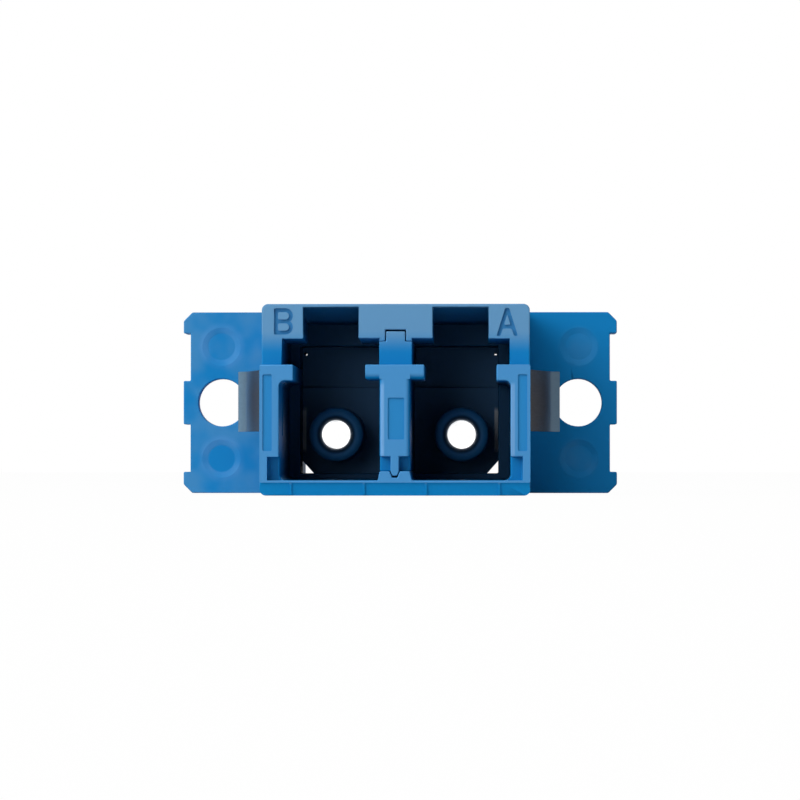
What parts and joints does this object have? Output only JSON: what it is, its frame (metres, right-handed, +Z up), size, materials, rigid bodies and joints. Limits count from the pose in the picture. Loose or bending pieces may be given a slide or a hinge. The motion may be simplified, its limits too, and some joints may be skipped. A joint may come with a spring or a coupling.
{
  "type": "duplex lc fibre adapter",
  "caption": "Flanged blue duplex LC fibre adapter: twin plug ports at both ends, ceramic alignment sleeves inside, sprung side clips and a screw flange for a panel cut-out.",
  "frame": {"origin": "midway between the two flange screw holes, on the flange face that meets the panel", "axes": "+Z up (latch side of the ports), -Y out of the lettered end, +X from port B towards port A"},
  "size_m": [0.022, 0.0275, 0.0092],
  "materials": {
    "blue_housing": "satin moulded",
    "blue_insert": "satin moulded",
    "deep_blue_holder": "satin moulded",
    "white_ceramic": "polished zirconia",
    "spring_steel": "rolled strip"
  },
  "bodies": {
    "adapter_body": {"front_housing": "blue_housing", "rear_housing": "blue_housing", "front_port_divider": "blue_insert", "rear_port_divider": "blue_insert", "front_sleeve_holder": "deep_blue_holder", "rear_sleeve_holder": "deep_blue_holder", "sleeve_a": "white_ceramic", "sleeve_b": "white_ceramic"},
    "right_clip": {"right_panel_clip": "spring_steel"},
    "left_clip": {"left_panel_clip": "spring_steel"}
  },
  "joints": [
    {"name": "right_clip_flex", "type": "hinge", "parent": "adapter_body", "child": "right_clip", "pos_m": [0.00625, -0.00775, 0], "axis": [0, 0, 1], "range_deg": [0, 16], "stiffness_Nm_per_rad": 0.05},
    {"name": "left_clip_flex", "type": "hinge", "parent": "adapter_body", "child": "left_clip", "pos_m": [-0.00625, -0.00775, 0], "axis": [0, 0, -1], "range_deg": [0, 16], "stiffness_Nm_per_rad": 0.05}
  ]
}
